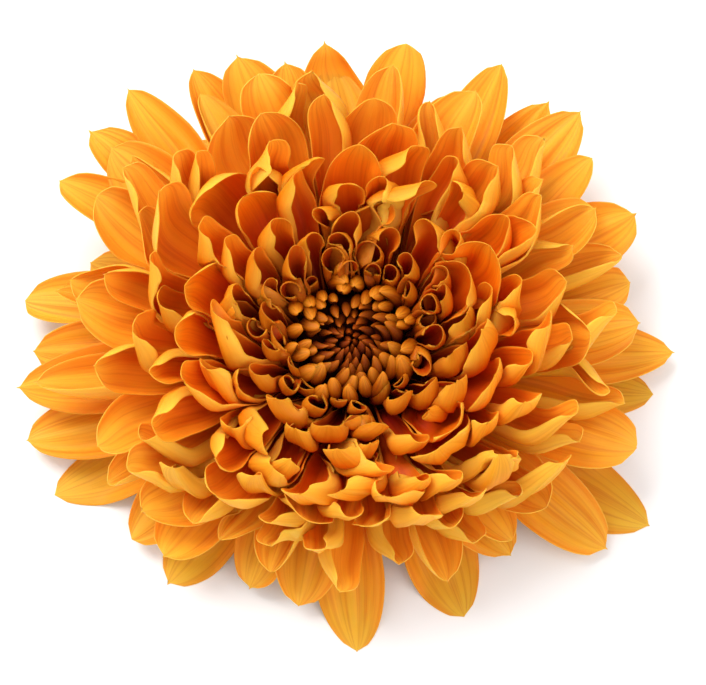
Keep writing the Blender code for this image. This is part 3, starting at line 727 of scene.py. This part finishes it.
work = bmesh.new()
shape_map = work.loops.layers.uv.new("petal")
tone_map = work.loops.layers.uv.new("tone")
for index in range(CLOSED_COUNT):
    age = (index + 0.5) / CLOSED_COUNT
    bud = float(rise(age, *BUD_AGES))
    place = DISC_FILLED * MIDDLE_RADIUS * age**DISC_PACKING + spread(PLACE_SPREAD, fine)
    half = (THINNEST + THICKER_WITH_AGE * age**1.3) * (1 + spread(GIRTH_SPREAD, fine))
    root, tip = ROOT_PLACE * place, (TIP_PLACE + TIP_OUT_WITH_AGE * age) * place + spread(TIP_SPREAD, fine)
    high = DISC_HEIGHT + DISC_RISE * age + spread(TOP_SPREAD, fine)
    low = high - SHORTEST - LONGER_WITH_AGE * age
    swirl = SWIRL * (1 - age) + spread(SWIRL_SPREAD, fine)
    turned_by = spread(ROUND_SPREAD, fine) - swirl / 2
    slit_at = spread(SLIT_SPREAD, fine)
    tone = fine.random()
    ball = bmesh.ops.create_uvsphere(work, u_segments=FLORET_SIDES, v_segments=FLORET_RINGS, radius=1)["verts"]
    spot = {}
    for vertex in ball:
        along = (vertex.co.z + 1) / 2
        turn = math.atan2(vertex.co.y, vertex.co.x)
        finger = math.sin(math.pi * along**0.9) ** 0.75 * (1.1 - 0.35 * along)
        egg = math.sin(math.pi * along**1.35) ** 0.58
        from_slit = (turn - slit_at) % (2 * math.pi) - math.pi
        slit = math.exp(-((from_slit / SLIT_WIDTH) ** 2)) * float(rise(along, *SLIT_PART))
        share = half * (finger + (egg - finger) * bud) * (1 - (SLIT_DEPTH + BUD_SLIT_DEPTH * bud) * slit)
        share *= 1 + 0.05 * math.cos(3 * turn + 6 * tone)
        bulge = 0.10 * place * math.sin(math.pi * along)
        reach = root + (tip - root) * along**1.4 + bulge
        out, side = reach + share * math.cos(turn), FLATTER_SIDEWAYS * share * math.sin(turn)
        height = low + (high - low) * along**0.85
        angle = index * GOLDEN_ANGLE + swirl * along + turned_by
        vertex.co = (
            out * math.cos(angle) - side * math.sin(angle), out * math.sin(angle) + side * math.cos(angle), height
        )
        spot[vertex] = (1 - abs(from_slit) / (2 * math.pi), along)
    for face in {face for vertex in ball for face in vertex.link_faces}:
        face.smooth = True
        for loop in face.loops:
            loop[shape_map].uv = spot[loop.vert]
            loop[tone_map].uv = (age, tone)
# Near-black roots and youngest florets: partly their own deep red, partly painted shade between the florets; the
# near-black slit colour is painted shade in the slit.
closed = petal_finish(
    "closed_floret",
    ((0, "#0c0000"), (0.5, "#3c0800"), (0.8, "#823000"), (1, "#a44c08")),
    ((0, "#100000"), (0.45, "#4a0e00"), (0.8, "#8c3c00"), (1, "#b45c0a")),
    ((0, "#180100"), (0.4, "#641600"), (0.75, "#a85000"), (1, "#da861a")),
    "#5a1c00", 0.45, ("#240300", 0.37, 0.9, 0.0),
)
piece_of(work, "closed_florets", [closed], "centre_floret", "centre_florets")
# The dome under the closed florets takes the cushion's near-black finish: painted shade in the gaps between them.
work = bmesh.new()
turned(work, DOME, DOME_STEPS)
piece_of(work, "middle_dome", [cushion_painted_shade], "centre_floret", "centre_florets")

# The calyx is the green cup under the head. Three rows of small pointed bracts, with thin papery margins, lie
# against it and against the lowest petals. Below it is the short stalk, ribbed and cut straight across.
# Count, reach and height of the root, and reach and height of the tip.
BRACT_ROWS = ((13, 4.6, 4.7, 11.5, 7.2), (12, 4.3, 4.3, 10.2, 6.0), (9, 3.9, 4.0, 8.6, 4.9))
BRACT_GRID = (8, 12)
BRACT_WIDTH, BRACT_THICKNESS = 3.5, 0.25
BRACT_TURN_SPREAD, BRACT_REACH_SPREAD, BRACT_HEIGHT_SPREAD, BRACT_WIDTH_SPREAD = 0.05, 0.3, 0.15, 0.2
BRACT_BOW, BRACT_HOLLOW, BRACT_KEEL = 0.35, 0.22, 0.06
# The veins' and the papery margin's colours: from where to where they set in, and how strong they get.
VEINS_ACROSS, VEINS, VEIN_RELIEF = 17, (0.45, 0.7, 0.6), (0.4, 0.1)
PAPERY_MARGIN = (0.34, 0.46, 0.85)
STALK_RADIUS, CUT_FACE_TOP, CUT_FACE_DOWN = 2.2, 0.6, -0.9
STALK_STEPS = 48
STALK_RIBS, STALK_RIB_HEIGHT, RIBS_ABOVE, RIBS_BELOW = 6, 0.05, 0.4, 3.4
FIBRE_DENSITY, FIBRE_RELIEF = (1800, 1800, 220), (0.5, 0.12)
CUP_AND_STALK = (
    (0, 0.5), (2.0, 0.5), (2.2, 0.7), (2.2, 1.4), (2.2, 2.2), (2.3, 3.0), (3.2, 3.6), (4.6, 4.1), (7.0, 5.4),
    (7.8, 6.6), (7.2, 7.1), (0, 7.1),
)


def bract_points(bract, s, t):
    """A bract's inner face: it leaves the calyx outwards, hugs it and turns up a little at its point."""
    run = bract["reach"] - bract["root_reach"]
    out = bract["root_reach"] + run * s
    up = bract["root_height"] + (bract["height"] - bract["root_height"]) * s**1.2 + BRACT_BOW * np.sin(math.pi * s)
    wide = bract["width"] / 2 * (0.55 + 0.45 * ease(s / 0.4)) * (1 - 0.96 * ease((s - 0.35) / 0.65) ** 1.1)
    across, hollow = wide * t, BRACT_HOLLOW * wide * t**2 - BRACT_KEEL * wide * np.cos(3 * math.pi * t)
    c, d = math.cos(bract["direction"]), math.sin(bract["direction"])
    return np.stack([out * c + across * d, out * d - across * c, up + hollow], 1)


bract_mesh = flat_grid(*BRACT_GRID)
bract_flat = np.array([v.co for v in bract_mesh.vertices])
bracts = []
for row, (count, root_reach, root_height, reach, height) in enumerate(BRACT_ROWS):
    for index in range(count):
        bract = {
            "age": 0.2 + 0.3 * row,
            "tone": detail.random(),
            "direction": 2 * math.pi * (index + 0.5 * (row % 2)) / count + spread(BRACT_TURN_SPREAD, detail),
            "root_reach": root_reach,
            "root_height": root_height,
            "reach": reach + spread(BRACT_REACH_SPREAD, detail),
            "height": height + spread(BRACT_HEIGHT_SPREAD, detail),
            "width": BRACT_WIDTH + spread(BRACT_WIDTH_SPREAD, detail),
        }
        along = 1 - ((1 - bract_flat[:, 1]) / 2) ** TIP_ROWS
        bracts.append((bract, bract_points(bract, along, bract_flat[:, 0])))
green, tree, shader = surface("bract_green", 0.6, 0.3)
marks = streaked(tree, VEINS_ACROSS)
length_color = ramp(tree, ((0, "#909a4c"), (0.3, "#687a28"), (0.75, "#56691e"), (1, "#6e5a28")))
tree.links.new(marks.outputs["Along"], length_color.inputs["Fac"])
veins = reached(tree, marks.outputs["Streak"], *VEINS)
color = tinted(tree, veins, length_color.outputs["Color"], "#97a250")
color = tinted(tree, reached(tree, from_midline(tree, marks), *PAPERY_MARGIN), color, "#b8a070")
tree.links.new(color, shader.inputs["Base Color"])
embossed(tree, shader, marks.outputs["Streak"], *VEIN_RELIEF)
bract_piece = piece_of(grow(bracts, bract_mesh), "bracts", [green], "green_bract", "calyx_and_stalk")
thickened(bract_piece, BRACT_THICKNESS)

stem, tree, shader = surface("stalk_green", 0.65, 0.3)
place = tree.nodes.new("ShaderNodeTexCoord")
stretch = tree.nodes.new("ShaderNodeMapping")
stretch.inputs["Scale"].default_value = FIBRE_DENSITY
fibres = tree.nodes.new("ShaderNodeTexNoise")
fibres.inputs["Scale"].default_value = 1
fibres.inputs["Detail"].default_value = 3
tree.links.new(place.outputs["Object"], stretch.inputs["Vector"])
tree.links.new(stretch.outputs["Vector"], fibres.inputs["Vector"])
shade = ramp(tree, ((0.3, "#566a22"), (0.55, "#748a34"), (0.8, "#9aa85a")))
tree.links.new(fibres.outputs["Fac"], shade.inputs["Fac"])
tree.links.new(shade.outputs["Color"], shader.inputs["Base Color"])
embossed(tree, shader, fibres.outputs["Fac"], *FIBRE_RELIEF)
work = bmesh.new()
turned(work, CUP_AND_STALK, STALK_STEPS)
for vertex in work.verts:
    ribbed = float(ease(RIBS_BELOW - vertex.co.z)) * float(ease(vertex.co.z - RIBS_ABOVE))
    rib = 1 + STALK_RIB_HEIGHT * ribbed * math.cos(STALK_RIBS * math.atan2(vertex.co.y, vertex.co.x))
    vertex.co.x *= rib
    vertex.co.y *= rib
pith, tree, shader = surface("cut_pith", 0.75, 0.2)
place = tree.nodes.new("ShaderNodeTexCoord")
centring = tree.nodes.new("ShaderNodeMapping")
centring.inputs["Location"].default_value = (-axis_x / (STALK_RADIUS * MM), -axis_y / (STALK_RADIUS * MM), 0)
centring.inputs["Scale"].default_value = (1 / (STALK_RADIUS * MM), 1 / (STALK_RADIUS * MM), 0)
rings = tree.nodes.new("ShaderNodeVectorMath")
rings.operation = "LENGTH"
tree.links.new(place.outputs["Object"], centring.inputs["Vector"])
tree.links.new(centring.outputs["Vector"], rings.inputs[0])
shade = ramp(tree, ((0.0, "#e4e4c0"), (0.5, "#d2d8a4"), (0.7, "#9ab060"), (0.8, "#c0cc8c"), (1.0, "#5a7a30")))
tree.links.new(rings.outputs["Value"], shade.inputs["Fac"])
tree.links.new(shade.outputs["Color"], shader.inputs["Base Color"])
for face in work.faces:
    if face.normal.z < CUT_FACE_DOWN and face.calc_center_median().z < CUT_FACE_TOP:
        face.material_index = 1
        face.smooth = False
piece_of(work, "calyx_cup_and_stalk", [stem, pith], "green_bract", "calyx_and_stalk")

# The scene is a plain pale floor under a white studio sky. Two soft lamps stand above it, the stronger one at the
# back on the left, and the camera looks down at the head as steeply as the photo's.
FLOOR_SIZE = 3
PALE = (0.9, 0.9, 0.9, 1)
SKY_STRENGTH = 0.82
# Each lamp's place from the head's axis and its size in metres, and its power in watts.
LAMPS = (("key", (-0.30, 0.30, 0.60), 0.45, 4.8), ("fill", (0.45, -0.25, 0.50), 0.50, 1.5))

floor_finish, tree, shader = surface("floor", 0.9, 0.2)
shader.inputs["Base Color"].default_value = PALE
work = bmesh.new()
bmesh.ops.create_grid(work, x_segments=1, y_segments=1, size=FLOOR_SIZE)
mesh = bpy.data.meshes.new("floor")
work.to_mesh(mesh)
work.free()
mesh.materials.append(floor_finish)
floor = bpy.data.objects.new("floor", mesh)
bpy.context.scene.collection.objects.link(floor)

sky = bpy.data.worlds.new("studio")
sky.use_nodes = True
sky.node_tree.nodes["Background"].inputs["Color"].default_value = (1, 1, 1, 1)
sky.node_tree.nodes["Background"].inputs["Strength"].default_value = SKY_STRENGTH
bpy.context.scene.world = sky

centre = Vector((axis_x, axis_y, 0))
for name, place, size, power in LAMPS:
    lamp = bpy.data.lights.new(name, "AREA")
    lamp.energy = power
    lamp.size = size
    light = bpy.data.objects.new(name, lamp)
    bpy.context.scene.collection.objects.link(light)
    light.location = centre + Vector(place)
    light.rotation_euler = (-Vector(place)).to_track_quat("-Z", "Y").to_euler()

ELEVATION = math.radians(73)
DISTANCE = 0.6
SENSOR = 36
PHOTO_WIDTH, PIXEL = 706, 0.1534 * MM
LOOKED_AT = Vector((0.23, 0.93, 14.0)) * MM
camera = bpy.data.cameras.new("camera")
camera.sensor_width = SENSOR
camera.lens = SENSOR * DISTANCE / (PHOTO_WIDTH * PIXEL)
view = bpy.data.objects.new("camera", camera)
bpy.context.scene.collection.objects.link(view)
back_off = Vector((0, -math.cos(ELEVATION), math.sin(ELEVATION)))
view.location = centre + LOOKED_AT + back_off * DISTANCE
view.rotation_euler = (-back_off).to_track_quat("-Z", "Y").to_euler()
bpy.context.scene.camera = view
bpy.context.scene.view_settings.view_transform = "Standard"
